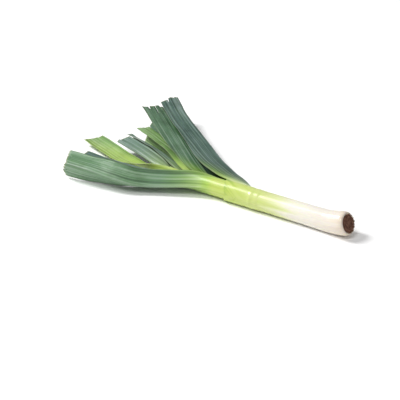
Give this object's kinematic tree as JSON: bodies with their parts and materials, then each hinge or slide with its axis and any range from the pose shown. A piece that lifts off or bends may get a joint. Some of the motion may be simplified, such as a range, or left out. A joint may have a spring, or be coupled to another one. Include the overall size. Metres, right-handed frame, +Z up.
{
  "type": "leek",
  "caption": "Trimmed fresh leek lying on its side: white shank with a brown root plate, opening into a flat fan of folded green leaves cut square at the tips",
  "frame": {"origin": "middle of the footprint, on the ground the leek lies on", "axes": "+X runs along the shank towards the root end, the leaves fan out towards -X in the X-Y plane, +Z up"},
  "size_m": [0.4562, 0.253, 0.0407],
  "materials": {
    "root": "matte",
    "shank": "satin",
    "leaf_dark": "satin",
    "leaf_light": "satin"
  },
  "bodies": {
    "root": {"root_plate": "root", "shank": "shank", "leaf_back_1": "leaf_dark", "leaf_front_1": "leaf_dark", "leaf_back_2": "leaf_dark", "leaf_front_2": "leaf_dark", "leaf_back_3": "leaf_light", "leaf_front_3": "leaf_light", "leaf_back_4": "leaf_dark", "leaf_heart": "leaf_light"}
  },
  "joints": []
}
